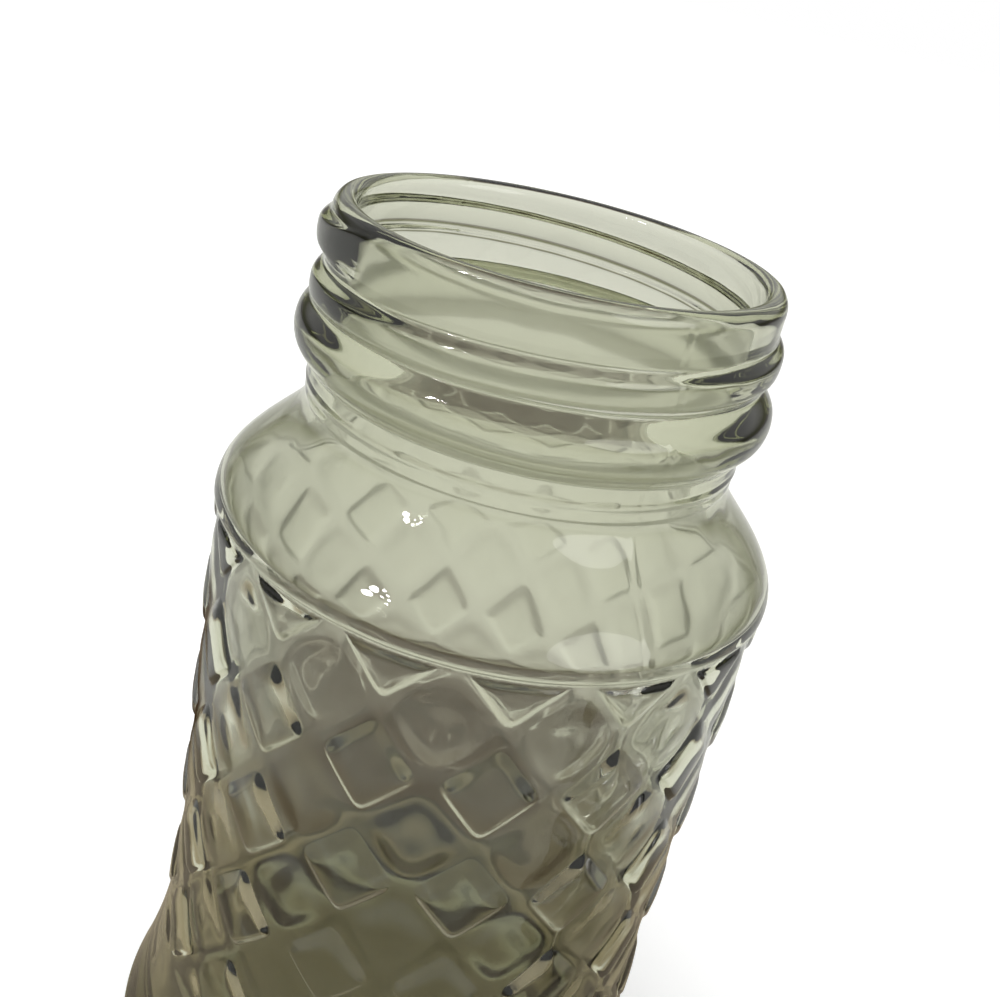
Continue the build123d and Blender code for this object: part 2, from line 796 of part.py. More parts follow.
# ------------------------------------------------------------------------ build
def build_top():
    """Every piece of the pouring top by node name, in the top's upright frame."""
    rivet_top = deck_z + bracket_thickness
    lever_top = lid_z + lid_thickness + lever_thickness
    upper, lower = grip_rivet_points()
    pieces = {
        "collar": make_collar(),
        "collar_gasket": make_gasket(),
        "cover": make_cover(),
        "spout": make_spout(),
        "hinge_bracket": make_bracket(),
        "hinge_pin": make_pin(),
        "lid_spring": make_spring(),
        "lid": make_lid(),
        "lid_seal": make_seal(),
        "thumb_lever": make_lever(),
        "thumb_pad": make_thumb_pad(),
        "handle_saddle": make_saddle(),
        "handle_tang": make_tang(),
        "grip_scale_left": make_scale(1),
        "grip_scale_right": make_scale(-1),
        "grip_rivet_upper": make_grip_rivet(upper),
        "grip_rivet_lower": make_grip_rivet(lower),
    }
    for name, y in (("left", 1), ("right", -1)):
        pieces["bracket_rivet_" + name] = make_rivet(
            hinge_x, y * bracket_rivet_offset, deck_z - sheet, rivet_top, True
        )
        pieces["lever_rivet_" + name] = make_rivet(
            lever_rivet_x(), y * lever_rivet_offset, lid_z, lever_top, False
        )
    return pieces


def main():
    """Write one STEP file for each piece."""
    os.makedirs("parts", exist_ok=True)
    export_step(make_jar(), "parts/jar.step")
    place = top_plane.location
    for name, piece in build_top().items():
        export_step(place * piece, "parts/" + name + ".step")
    hinge = top_plane.from_local_coords((hinge_x, 0, hinge_z))
    print("top lies at", round(lying_angle, 4), "deg; hinge at", hinge)


main()
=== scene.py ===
"""Syrup dispenser: a pressed-glass jar standing open, its pouring top lying beside it."""

import logging
import math
from dataclasses import dataclass
from enum import Enum
from functools import cached_property

import bmesh
import bpy
import numpy as np
from bpy.types import ID, Material, Mesh, Node, NodeOutputs, NodeSocket, NodeTree, Object
from mathutils import Matrix, Vector, noise
from numpy import ndarray as Array


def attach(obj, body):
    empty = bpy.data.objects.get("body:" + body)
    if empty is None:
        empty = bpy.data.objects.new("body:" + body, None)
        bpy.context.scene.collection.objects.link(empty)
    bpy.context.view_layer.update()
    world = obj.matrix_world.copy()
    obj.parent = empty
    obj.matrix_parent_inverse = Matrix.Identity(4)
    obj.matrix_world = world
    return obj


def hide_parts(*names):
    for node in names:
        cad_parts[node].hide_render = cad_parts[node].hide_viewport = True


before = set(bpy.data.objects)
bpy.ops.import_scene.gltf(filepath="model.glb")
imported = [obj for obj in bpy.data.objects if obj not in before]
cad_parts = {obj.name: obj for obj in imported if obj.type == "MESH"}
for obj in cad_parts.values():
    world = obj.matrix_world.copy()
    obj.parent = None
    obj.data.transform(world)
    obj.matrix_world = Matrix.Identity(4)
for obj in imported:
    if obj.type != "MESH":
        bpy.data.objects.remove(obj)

LOG = logging.getLogger("syrup_dispenser")
MM = 0.001
CREST_ROUNDING = 0.4                 # of a ridge's crest, as a share of its height
LEAST_HEIGHT = 1e-4                  # of a ridge, so that its rounding is never 0
COLLAR_AXIS = (0.0977, 0.0, 0.0342)  # point on the collar's axis, which runs along Y, in m
WHITE = (1.0, 1.0, 1.0, 1.0)

Triple = tuple[float, float, float]
Pair = tuple[float, float]
Face = tuple[int, ...]


# --------------------------------------------------------------------- helpers
def ease(share: Array | float) -> Array | float:
    """S-curve from 0 to 1, over values that are clamped to that range."""
    share = np.clip(share, 0.0, 1.0)
    return share * share * (3.0 - 2.0 * share)


def corner_length(a: Array, b: Array, power: float) -> Array:
    """Distance to the middle of a square whose corners are rounded by a power."""
    return (a**power + b**power) ** (1.0 / power)


def soft_max(a: Array, b: Array, blend: float) -> Array:
    """The larger of two height fields, with a fillet of that width where they meet."""
    near = np.clip(1.0 - np.abs(a - b) / blend, 0.0, 1.0)
    return np.maximum(a, b) + blend * near * near / 4.0


def ridge(offset: Array, height: Array, half_width: float, flank: float) -> Array:
    """Height of a ridge with straight flanks and a rounded crest.

    Args:
        offset: Distance from the crest line.
        height: Height of the crest.
        half_width: Distance from the crest line to where the ridge ends.
        flank: Slope of its sides, rise over run.

    Returns:
        The ridge's height, never below 0.
    """
    height = np.maximum(height, LEAST_HEIGHT)
    side = flank * (half_width - np.abs(offset))
    rounding = CREST_ROUNDING * height
    return np.maximum(0.5 * (height + side - np.sqrt((height - side) ** 2 + rounding**2)), 0.0)


def soft_step(share: Array, foot: float, brow: float) -> Array:
    """Straight slope from 0 to 1, its foot and its brow rounded by shares of its length."""
    return 0.5 * (np.sqrt(share**2 + foot**2) - np.sqrt((share - 1.0) ** 2 + brow**2) + 1.0)


def add_object(name: str, data: ID) -> Object:
    """Links a mesh, a lamp or a camera into the scene.

    Args:
        name: Name of the new object.
        data: What it holds.

    Returns:
        The object.
    """
    obj = bpy.data.objects.new(name, data)
    bpy.context.scene.collection.objects.link(obj)
    return obj


def level_rings(count: int, places: list[Pair]) -> list[Array]:
    """A level ring of that many (radius, height) points for each place."""
    return [np.tile(np.array(place, float), (count, 1)) for place in places]


def steps(start: float, end: float, total: int) -> list[float]:
    """Values up to the end in equal steps, without the start."""
    return [start + (end - start) * i / total for i in range(1, total + 1)]


def quarter_turn(total: int) -> list[float]:
    """Angles in radians up to a right angle in equal steps, without the 0."""
    return [math.radians(degrees) for degrees in steps(0.0, 90.0, total)]


# ------------------------------------------------------------------- materials
class Finish(Enum):
    """Finishes of the set, by the names of their materials."""

    GLASS = "pressed_glass"
    SPUN_CHROME = "spun_chrome"
    PRESSED_CHROME = "pressed_chrome"
    STEEL = "drawn_steel"
    SILICONE = "silicone"
    GRIP = "black_grip"


class NodeBench:
    """Places and wires the nodes of one shader tree.

    A value that a method takes is a plain value or the output socket of another node.
    """

    spacing = (190, -160)
    lanes = 3

    def __init__(self, tree: NodeTree) -> None:
        """Starts on an empty tree."""
        self.tree = tree
        self.column = 0

    def feed(self, target: NodeSocket, value: object) -> None:
        """Gives an input its value.

        Args:
            target: The input.
            value: Its value.
        """
        if isinstance(value, NodeSocket):
            self.tree.links.new(value, target)
        else:
            target.default_value = value

    def drive(self, node: Node, **values: object) -> Node:
        """Sets properties and inputs of a node.

        Args:
            node: The node.
            values: Values by the names of properties, or of inputs with underscores for
                spaces.

        Returns:
            The same node.
        """
        for key, value in values.items():
            if hasattr(node, key):
                setattr(node, key, value)
            else:
                self.feed(node.inputs[key.replace("_", " ")], value)
        return node

    def add(self, kind: str, *inputs: object, **values: object) -> Node:
        """Adds a node.

        Args:
            kind: Node type name.
            inputs: Values of its first inputs, in order.
            values: Properties and inputs by name, as in drive.

        Returns:
            The new node.
        """
        node = self.tree.nodes.new(kind)
        across, down = self.spacing
        node.location = (self.column * across, self.column % self.lanes * down)
        self.column += 1
        self.drive(node, **values)
        for target, value in zip(node.inputs, inputs):
            self.feed(target, value)
        return node

    def place(self) -> NodeSocket:
        """Position on the object, in its own space."""
        return self.add("ShaderNodeTexCoord").outputs["Object"]

    def split(self, vector: NodeSocket) -> NodeOutputs:
        """The three parts of a vector, by the names X, Y and Z."""
        return self.add("ShaderNodeSeparateXYZ", Vector=vector).outputs

    def noise(self, vector: NodeSocket, **values: object) -> NodeSocket:
        """Noise at a place, from 0 to 1."""
        return self.add("ShaderNodeTexNoise", Vector=vector, **values).outputs["Fac"]

    def maths(self, operation: str, *values: object) -> NodeSocket:
        """Result of a Math node."""
        return self.add("ShaderNodeMath", *values, operation=operation).outputs[0]

    def vector_maths(self, operation: str, *values: object) -> NodeOutputs:
        """Outputs of a Vector Math node."""
        return self.add("ShaderNodeVectorMath", *values, operation=operation).outputs

    def spread(
        self, value: NodeSocket, low: float = 0.0, high: float = 1.0, start: float = 0.0,
        end: float = 1.0,
    ) -> NodeSocket:
        """Value mapped from start..end to low..high, and clamped there."""
        limits = {"From_Min": start, "From_Max": end, "To_Min": low, "To_Max": high}
        return self.add("ShaderNodeMapRange", Value=value, **limits).outputs["Result"]

    def mix(self, factor: NodeSocket, first: object, second: object, **settings: str) -> NodeSocket:
        """Mixture of two values, which are colours unless the settings say otherwise."""
        kind = {"data_type": "RGBA", **settings}
        node = self.add("ShaderNodeMix", **kind, Factor=factor, A=first, B=second)
        return node.outputs["Result"]

    def ramp(self, factor: NodeSocket, stops: tuple[tuple[float, Triple], ...]) -> NodeSocket:
        """Adds a colour ramp.

        Args:
            factor: Where on the ramp.
            stops: Positions and their colours, in rising order.

        Returns:
            The colour.
        """
        node = self.add("ShaderNodeValToRGB", Fac=factor)
        elements = node.color_ramp.elements
        for i in (0, -1):
            elements[i].position, elements[i].color = stops[i][0], (*stops[i][1], 1.0)
        for position, colour in stops[1:-1]:
            elements.new(position).color = (*colour, 1.0)
        return node.outputs["Color"]

    def bump(self, height: NodeSocket, strength: float, depth: float) -> NodeSocket:
        """Normal bumped by a height field, at a strength and with a depth in metres."""
        node = self.add("ShaderNodeBump", Strength=strength, Distance=depth, Height=height)
        return node.outputs["Normal"]

    def group(self, tree: NodeTree, vector: NodeSocket, **values: float) -> NodeSocket:
        """Output of a node group that is put here, with the values of its inputs."""
        node = self.add("ShaderNodeGroup", node_tree=tree, Vector=vector, **values)
        return node.outputs[0]


class GroupKit:
    """Shader node groups that several finishes share, each built once."""

    @staticmethod
    def _start(
        name: str, inputs: dict[str, float], output: str
    ) -> tuple[NodeBench, dict[str, NodeSocket], Node]:
        """Makes an empty group with a vector input, number inputs and a number output.

        Args:
            name: Name of the group.
            inputs: Its number inputs and their values.
            output: Its output.

        Returns:
            The group's bench, what its inputs bring in, and its output node.
        """
        tree = bpy.data.node_groups.new(name, "ShaderNodeTree")
        tree.interface.new_socket("Vector", in_out="INPUT", socket_type="NodeSocketVector")
        for key, value in inputs.items():
            entry = tree.interface.new_socket(key, in_out="INPUT", socket_type="NodeSocketFloat")
            entry.default_value = value
        tree.interface.new_socket(output, in_out="OUTPUT", socket_type="NodeSocketFloat")
        bench = NodeBench(tree)
        brought = bench.add("NodeGroupInput").outputs
        given = {key: brought[key] for key in ("Vector", *inputs)}
        return bench, given, bench.add("NodeGroupOutput")

    @cached_property
    def smudges(self) -> NodeTree:
        """Patchy traces of handling, as a mask."""
        bench, given, result = self._start("HandlingSmudges", {"Scale": 40.0}, "Mask")
        patches = bench.noise(
            given["Vector"], Scale=given["Scale"], Detail=5.0, Roughness=0.62, Distortion=0.4
        )
        bench.drive(result, Mask=bench.spread(patches, start=0.42, end=0.68))
        return bench.tree

    @cached_property
    def hairlines(self) -> NodeTree:
        """Fine scratches in three directions, as a mask."""
        bench, given, result = self._start("Hairlines", {"Scale": 300.0, "Amount": 0.5}, "Mask")
        total: object = 0.0
        for turn in (0.35, 1.25, 2.3):
            mapping = bench.add(
                "ShaderNodeMapping", Vector=given["Vector"],
                Rotation=(turn, turn * 1.7, turn * 0.6), Scale=(1.0, 0.035, 0.3),
            )
            streak = bench.noise(
                mapping.outputs["Vector"], Scale=given["Scale"], Detail=1.0, Roughness=0.5
            )
            total = bench.maths("MAXIMUM", total, bench.spread(streak, start=0.68, end=0.74))
        bench.drive(result, Mask=bench.maths("MULTIPLY", total, given["Amount"]))
        return bench.tree

    @cached_property
    def fine_grain(self) -> NodeTree:
        """Fine even grain of a moulded skin, as a height."""
        bench, given, result = self._start("SkinGrain", {"Scale": 900.0}, "Height")
        coarse = bench.noise(given["Vector"], Scale=given["Scale"], Detail=3.0, Roughness=0.6)
        cells = bench.add("ShaderNodeTexVoronoi", feature="SMOOTH_F1", Smoothness=0.8, **given)
        half = bench.maths("MULTIPLY", cells.outputs["Distance"], 0.5)
        bench.drive(result, Height=bench.maths("ADD", coarse, half))
        return bench.tree


def new_material(name: str) -> tuple[Material, NodeBench, Node]:
    """Makes a material with one Principled BSDF.

    Args:
        name: Name of the material.

    Returns:
        The material, the bench of its tree and the Principled BSDF.
    """
    material = bpy.data.materials.new(name)
    material.use_nodes = True
    material.node_tree.nodes.clear()
    bench = NodeBench(material.node_tree)
    shader = bench.add("ShaderNodeBsdfPrincipled")
    bench.add("ShaderNodeOutputMaterial", Surface=shader.outputs["BSDF"])
    return material, bench, shader


@dataclass(frozen=True)
class PressedGlass:
    """Clear pressed glass with a faint green-grey tint that deepens with thickness.

    Beyond the surfaces of the near wall, of which there are two, the glass is rougher.
    """

    tint: Triple = (0.95, 0.954, 0.902)
    roughness: Pair = (0.01, 0.035)
    roughness_beyond: float = 0.42
    near_surfaces: float = 1.5
    ior: float = 1.5
    absorption: Triple = (0.42, 0.45, 0.17)
    density: float = 60.0
    smudge_scale: float = 34.0
    flow_scale: float = 110.0
    flow_strength: float = 0.05
    flow_depth: float = 0.0009

    def build(self, kit: GroupKit) -> Material:
        """Makes the material.

        Args:
            kit: The shared node groups.

        Returns:
            The finished material.
        """
        material, bench, shader = new_material(Finish.GLASS.value)
        place = bench.place()
        smudge = bench.group(kit.smudges, place, Scale=self.smudge_scale)
        rough = bench.spread(smudge, *self.roughness)
        depth = bench.add("ShaderNodeLightPath").outputs["Transmission Depth"]
        beyond = bench.maths("GREATER_THAN", depth, self.near_surfaces)
        flow = bench.noise(place, Scale=self.flow_scale, Detail=1.0, Roughness=0.4)
        bench.drive(
            shader, Base_Color=(*self.tint, 1.0), Transmission_Weight=1.0, IOR=self.ior,
            Roughness=bench.mix(beyond, rough, self.roughness_beyond, data_type="FLOAT"),
            Normal=bench.bump(flow, self.flow_strength, self.flow_depth),
        )
        volume = bench.add(
            "ShaderNodeVolumeAbsorption", Density=self.density, Color=(*self.absorption, 1.0)
        )
        output = next(n for n in bench.tree.nodes if n.type == "OUTPUT_MATERIAL")
        bench.drive(output, Volume=volume.outputs["Volume"])
        return material


@dataclass(frozen=True)
class Metal:
    """Bare or plated metal, with turned grooves where it was spun on a lathe."""

    finish: Finish
    colour: Triple
    roughness: Pair
    scratches: float
    groove_depth: float = 0.0
    axis_point: Triple = (0.0, 0.0, 0.0)
    dulled: float = 0.82
    smudge_scale: float = 55.0
    scratch_scale: float = 420.0
    groove_scale: float = 3200.0
    relief_strength: float = 0.25
    relief_depth: float = 0.00004

    def build(self, kit: GroupKit) -> Material:
        """Makes the material.

        Args:
            kit: The shared node groups.

        Returns:
            The finished material.
        """
        material, bench, shader = new_material(self.finish.value)
        place = bench.place()
        smudge = bench.group(kit.smudges, place, Scale=self.smudge_scale)
        height = lines = bench.group(
            kit.hairlines, place, Scale=self.scratch_scale, Amount=self.scratches
        )
        if self.groove_depth > 0:
            height = bench.maths("ADD", lines, self._grooves(bench, place))
        worn = bench.maths("MAXIMUM", smudge, lines)
        dull = (*(c * self.dulled for c in self.colour), 1.0)
        bench.drive(
            shader, Metallic=1.0, Base_Color=bench.mix(smudge, (*self.colour, 1.0), dull),
            Roughness=bench.spread(worn, *self.roughness),
            Normal=bench.bump(height, self.relief_strength, self.relief_depth),
        )
        return material

    def _grooves(self, bench: NodeBench, place: NodeSocket) -> NodeSocket:
        """Fine rings round an axis along Y, as a lathe leaves them.

        Args:
            bench: Bench of the material's tree.
            place: Position on the object.

        Returns:
            Their height.
        """
        origin = tuple(-c for c in self.axis_point)
        shift = bench.add("ShaderNodeMapping", Vector=place, Location=origin)
        parts = bench.split(shift.outputs["Vector"])
        squares = [bench.maths("MULTIPLY", parts[k], parts[k]) for k in "XZ"]
        radius = bench.maths("SQRT", bench.maths("ADD", *squares))
        point = bench.add("ShaderNodeCombineXYZ", X=radius, Y=parts["Y"])
        rings = bench.noise(point.outputs["Vector"], Scale=self.groove_scale, Detail=2.0)
        return bench.maths("MULTIPLY", rings, self.groove_depth)


@dataclass(frozen=True)
class MouldedSkin:
    """Moulded plastic or silicone with a fine grain and traces of handling."""

    finish: Finish
    colour: Triple
    colour_worn: Triple
    roughness: Pair
    grain_scale: float
    subsurface: float = 0.0
    scatter: Triple = (0.004, 0.003, 0.002)
    coat: float = 0.0
    coat_roughness: float = 0.12
    smudge_scale: float = 70.0
    scratch_scale: float = 260.0
    scratches: float = 0.35
    relief_strength: float = 0.35
    relief_depth: float = 0.00003

    def build(self, kit: GroupKit) -> Material:
        """Makes the material.

        Args:
            kit: The shared node groups.

        Returns:
            The finished material.
        """
        material, bench, shader = new_material(self.finish.value)
        place = bench.place()
        smudge = bench.group(kit.smudges, place, Scale=self.smudge_scale)
        lines = bench.group(
            kit.hairlines, place, Scale=self.scratch_scale, Amount=self.scratches
        )
        worn = bench.maths("MAXIMUM", smudge, lines)
        grain = bench.group(kit.fine_grain, place, Scale=self.grain_scale)
        bench.drive(
            shader, Base_Color=bench.mix(worn, (*self.colour, 1.0), (*self.colour_worn, 1.0)),
            Roughness=bench.spread(smudge, *self.roughness),
            Normal=bench.bump(grain, self.relief_strength, self.relief_depth),
        )
        if self.subsurface > 0:
            bench.drive(
                shader, Subsurface_Weight=self.subsurface, Subsurface_Radius=self.scatter
            )
        if self.coat > 0:
            bench.drive(shader, Coat_Weight=self.coat, Coat_Roughness=self.coat_roughness)
        return material


# -------------------------------------------------------------------- glass jar
@dataclass
class GlassJar:
    """The pressed-glass jar as one closed mesh. Sizes in millimetres, angles in degrees."""

    height: float = 150.0
    wall: float = 3.0
    neck_radius: float = 30.0
    rim_flat: float = 0.2
    rim_round_height: float = 2.3
    neck_base_drop: float = 26.5
    bead_drop: float = 17.0
    bead_height: float = 3.0
    bead_half_width: float = 4.8
    bead_flank: float = 1.05
    neck_ring_drop: float = 24.2
    neck_ring_height: float = 0.35
    neck_ring_half_width: float = 0.7
    neck_ring_flank: float = 0.8
    bead_fillet: float = 0.2
    thread_start_drop: float = 4.2
    thread_pitch: float = 6.6
    thread_sweep: float = 430.0
    thread_start_angle: float = -132.0
    thread_height: float = 1.7
    thread_half_width: float = 2.9
    thread_flank: float = 1.25
    thread_runout: float = 40.0
    thread_fillet: float = 0.45
    thread_least: float = 1e-3
    shoulder_drop: float = 42.0
    shoulder_radius: float = 40.35
    shoulder_step: float = 0.9
    step_profile: tuple[Pair, ...] = (
        (0.08, 0.12), (0.3, 0.32), (0.6, 0.55), (0.86, 0.78), (0.97, 0.95),
    )
    body_radius: float = 39.6
    waist_radius: float = 39.2
    waist_height: float = 48.0
    flange_radius: float = 45.5
    flange_margin: float = 0.022
    flange_height: float = 5.0
    flare_power: float = 2.2
    foot_recess_radius: float = 34.0
    foot_recess_height: float = 2.2
    foot_recess_slope: float = 3.0
    base_thickness: float = 4.8
    floor_round: float = 8.0
    pad_columns: int = 16
    pad_first_angle: float = -124.7
    pad_row_pitch: float = 17.64
    pad_row_lift: float = 0.44
    pad_half_height: float = 7.66
    pad_height: float = 0.84
    pad_bevel: float = 0.66
    pad_bevel_above: float = 1.8
    pad_bevel_height: float = 0.42
    pad_foot_fillet: float = 0.22
    pad_brow_fillet: float = 0.3
    pad_dome_power: float = 1.7
    pad_corner_power: float = 7.0
    pad_corner_turn: float = 0.7
    pillow_height: float = 0.32
    pillow_power: float = 3.2
    pillow_slope: float = 3.4
    pillow_fade: float = 1.6
    pattern_end_height: float = 28.0
    pattern_gap: float = 0.5
    echo_height: float = 0.07
    echo_fade: Pair = (6.0, 8.0)
    seam_angle: float = -57.0
    seam_height: float = 0.06
    seam_half_width: float = 0.35
    swell: float = 0.7
    swell_below: float = 0.6
    swell_zones: tuple[Pair, ...] = ((8.0, 19.0), (30.0, 13.0), (48.0, 32.0))
    ripple: float = 0.05
    ripple_scales: Pair = (0.11, 0.27)
    ripple_fine_share: float = 0.45
    ripple_stretch: float = 0.8
    ripple_drift: float = 40.0
    ripple_inside: float = 1.8
    still_radius: float = 12.0
    still_height: float = 0.5

    # ---- how finely the mesh follows it
    ring_points: int = 480
    neck_row: float = 0.27
    shoulder_rings: int = 40
    rim_rings: int = 12
    lip_rings: int = 8
    inner_neck_rings: int = 16
    inner_shoulder_rings: int = 20
    inner_body_rings: int = 60
    floor_rings: int = 10
    flare_rings: int = 40
    heel_rings: int = 10
    foot_rings: int = 3
    recess_rings: int = 4
    roof_rings: int = 6
    line_depths: tuple[float, ...] = (
        -0.5, -0.25, -0.08, 0.08, 0.25, 0.42, 0.6, 0.85, 1.15, 1.45, 1.8, 2.6, 3.7,
    )
    upper_cuts: tuple[float, ...] = (0.0, 0.3, 0.6, 0.9, 1.2)
    lower_cuts: tuple[float, ...] = (0.5, 1.1)
    shortest_edge: float = 0.02

    # ---- slack when the outer skin is told from the inner
    step_slack: float = 0.1
    neck_slack: float = 0.2
    body_slack: float = 1.0

    # ---- shape of the glass
    @property
    def pattern_top(self) -> float:
        """Height of the upper edge of the pad pattern."""
        return self.height - self.shoulder_drop - self.shoulder_step

    @property
    def floor_height(self) -> float:
        """Height of the floor inside."""
        return self.foot_recess_height + self.base_thickness

    @property
    def rim_round(self) -> float:
        """How far the rounding of the rim reaches from either side."""
        return (self.wall - self.rim_flat) / 2

    @property
    def pad_half(self) -> float:
        """Half of a pad, in rows."""
        return self.pad_half_height / self.pad_row_pitch

    @property
    def line_pitch(self) -> float:
        """Distance between the slanting lines on which the pads' centres lie."""
        column_pitch = 2 * math.pi * self.body_radius / self.pad_columns
        return column_pitch * self.pad_row_pitch / math.hypot(column_pitch, self.pad_row_pitch)

    def row_of(self, z: Array | float) -> Array | float:
        """Row number of a height, 0 at the centre of the cut row, counted downwards."""
        return (self.pattern_top + self.pad_row_lift - z) / self.pad_row_pitch

    def body_radius_at(self, z: Array) -> Array:
        """Outside radius between the pads.

        Args:
            z: Heights between the flange and the pattern's top.

        Returns:
            The radius at each height.
        """
        z = np.asarray(z, float)
        up = (z - self.waist_height) / (self.pattern_top - self.waist_height)
        down = (self.waist_height - z) / (self.waist_height - self.flange_height)
        above = self.waist_radius + (self.body_radius - self.waist_radius) * up
        flare = self.flange_radius - self.waist_radius
        below = self.waist_radius + flare * np.clip(down, 0, None) ** self.flare_power
        return np.where(z >= self.waist_height, above, below)

    def shoulder_point(self, share: float, offset: float = 0.0) -> Pair:
        """Radius and height on the shoulder's S-curve.

        Args:
            share: 0 at the neck's root, 1 at the step.
            offset: How far inwards from the outer skin.

        Returns:
            The radius and the height.
        """
        rise = self.shoulder_drop - self.neck_base_drop
        swell = self.shoulder_radius - self.neck_radius
        radius = self.neck_radius + swell * ease(share)
        slope = swell * 6 * share * (1 - share) / rise
        length = math.hypot(1, slope)
        z = self.height - self.neck_base_drop - rise * share
        return radius - offset / length, z - offset * slope / length

    def wall_swell(self, z: float) -> float:
        """How much thicker than plain the wall is at a height.

        Args:
            z: Height above the foot.

        Returns:
            The added thickness, below 0 under the shoulder.
        """
        drop = self.height - z
        rise, fall, back = (ease((drop - start) / length) for start, length in self.swell_zones)
        return self.swell * rise * (1.0 - fall) - self.swell_below * fall * (1.0 - back)

    def neck_relief(self, angle: Array, drop: Array) -> Array:
        """How far thread, bead and root ring stand out of the neck.

        Args:
            angle: Angles from +X, in degrees.
            drop: Distances down from the rim.

        Returns:
            The relief at each point.
        """
        bead = ridge(
            drop - self.bead_drop, self.bead_height, self.bead_half_width, self.bead_flank
        )
        root = ridge(
            drop - self.neck_ring_drop, self.neck_ring_height, self.neck_ring_half_width,
            self.neck_ring_flank,
        )
        relief = soft_max(bead, root, self.bead_fillet)
        first = (self.thread_start_angle - angle) % 360.0
        for lap in range(int(self.thread_sweep // 360) + 1):
            turned = first + 360.0 * lap
            fade = np.minimum(turned, self.thread_sweep - turned) / self.thread_runout
            crest = self.thread_height * ease(fade)
            centre = self.thread_start_drop + self.thread_pitch * turned / 360.0
            thread = ridge(drop - centre, crest, self.thread_half_width, self.thread_flank)
            real = (turned <= self.thread_sweep) & (crest > self.thread_least)
            thread = np.where(real, thread, 0.0)
            relief = soft_max(relief, thread, self.thread_fillet)
        return relief

    def seam_relief(self, angle: Array, radius: Array) -> Array:
        """Height of the two fine mould seams that run down the glass.

        Args:
            angle: Angles from +X, in degrees.
            radius: Radii of the skin.

        Returns:
            The relief at each point.
        """
        turn = (angle - self.seam_angle + 90.0) % 180.0 - 90.0
        across = np.radians(turn) * radius
        return self.seam_height * ease(1.0 - np.abs(across) / self.seam_half_width)

    def pad_relief(self, a: Array, b: Array, z: Array) -> Array:
        """Height of the pads and of the soft pillows between them.

        Args:
            a: First lattice coordinate, column plus row.
            b: Second lattice coordinate, column minus row.
            z: Heights above the foot.

        Returns:
            The relief at each point.
        """
        unit, half = self.line_pitch, self.pad_half
        whole_a, whole_b = np.rint(a), np.rint(b)
        da, db = np.abs(a - whole_a), np.abs(b - whole_b)
        power = self.pad_corner_power
        reach = corner_length(da, db, power)
        is_pad = (whole_a + whole_b) % 2 == 0
        cut = self.pattern_top - self.pattern_gap - z
        depth = np.minimum((half - reach) * unit, cut)
        lean_a = np.sign(a - whole_a) * (da / np.maximum(reach, 1e-9)) ** (power - 1)
        lean_b = np.sign(b - whole_b) * (db / np.maximum(reach, 1e-9)) ** (power - 1)
        turn = self.pad_corner_turn
        upward = ease((lean_b - lean_a + turn) / (2 * turn))
        bevel = self.pad_bevel + (self.pad_bevel_above - self.pad_bevel) * upward
        slope = soft_step(
            depth / bevel, self.pad_foot_fillet * self.pad_bevel / bevel,
            self.pad_brow_fillet * self.pad_bevel / bevel,
        )
        share = np.clip(depth / (half * unit), 0.0, 1.0)
        dome = 1.0 - (1.0 - share) ** self.pad_dome_power
        pad = self.pad_bevel_height * slope + (self.pad_height - self.pad_bevel_height) * dome
        round_reach = corner_length(da, db, self.pillow_power)
        edge = np.minimum(cut + self.pattern_gap, z - self.pattern_end_height)
        pillow = self.pillow_height * ease((0.5 - round_reach) * self.pillow_slope)
        return np.where(is_pad, pad, pillow * ease(edge / self.pillow_fade))

    # ---- meshing
    def lattice(self) -> tuple[Array, list[Face]]:
        """Mesh of the unrolled pattern band, its edges along the pads' sides.

        Returns:
            Points as (column, row) pairs and the faces over them.
        """
        side = [self.pad_half - depth / self.line_pitch for depth in self.line_depths]
        stops = sorted([-s for s in side] + [0.0] + side) + [0.5]
        row_low = self.row_of(self.pattern_top)
        row_high = self.row_of(self.pattern_end_height)
        columns = self.pad_columns
        a_lines = [k + s for k in range(-1, columns + int(row_high) + 2) for s in stops]
        b_lines = [k + s for k in range(-int(row_high) - 2, columns + 2) for s in stops]
        grid_a, grid_b = np.meshgrid(a_lines, b_lines, indexing="ij")
        u, v = (grid_a + grid_b) / 2, (grid_a - grid_b) / 2
        index = np.arange(u.size).reshape(u.shape)
        corners = [index[:-1, :-1], index[1:, :-1], index[1:, 1:], index[:-1, 1:]]
        quads = np.stack([c.ravel() for c in corners], axis=1)
        qu, qv = u.ravel()[quads], v.ravel()[quads]
        keep = (qu.max(1) > 0) & (qu.min(1) < columns)
        keep &= (qv.max(1) > row_low) & (qv.min(1) < row_high)
        quads = quads[keep]
        used, flat_index = np.unique(quads, return_inverse=True)
        points = np.stack([u.ravel()[used], v.ravel()[used], np.zeros(len(used))], axis=1)
        mesh = bpy.data.meshes.new("unrolled")
        mesh.from_pydata(points.tolist(), [], flat_index.reshape(quads.shape).tolist())
        work = bmesh.new()
        work.from_mesh(mesh)
        bpy.data.meshes.remove(mesh)
        cuts = [((0, 0), (-1, 0), True), ((columns, 0), (1, 0), True)]
        cuts += [((0, row_low), (0, -1), True), ((0, row_high), (0, 1), True)]
        heights = [self.pattern_top - self.pattern_gap - below for below in self.upper_cuts]
        heights += [self.pattern_end_height + above for above in self.lower_cuts]
        cuts += [((0, self.row_of(z)), (0, 1), False) for z in heights]
        for point, normal, clear in cuts:
            geometry = work.verts[:] + work.edges[:] + work.faces[:]
            bmesh.ops.bisect_plane(
                work, geom=geometry, dist=1e-6, plane_co=(*point, 0),
                plane_no=(*normal, 0), clear_outer=clear,
            )
        work.verts.index_update()
        flat_points = np.array([v.co[:2] for v in work.verts])
        faces = [tuple(v.index for v in f.verts) for f in work.faces]
        work.free()
        return flat_points, faces

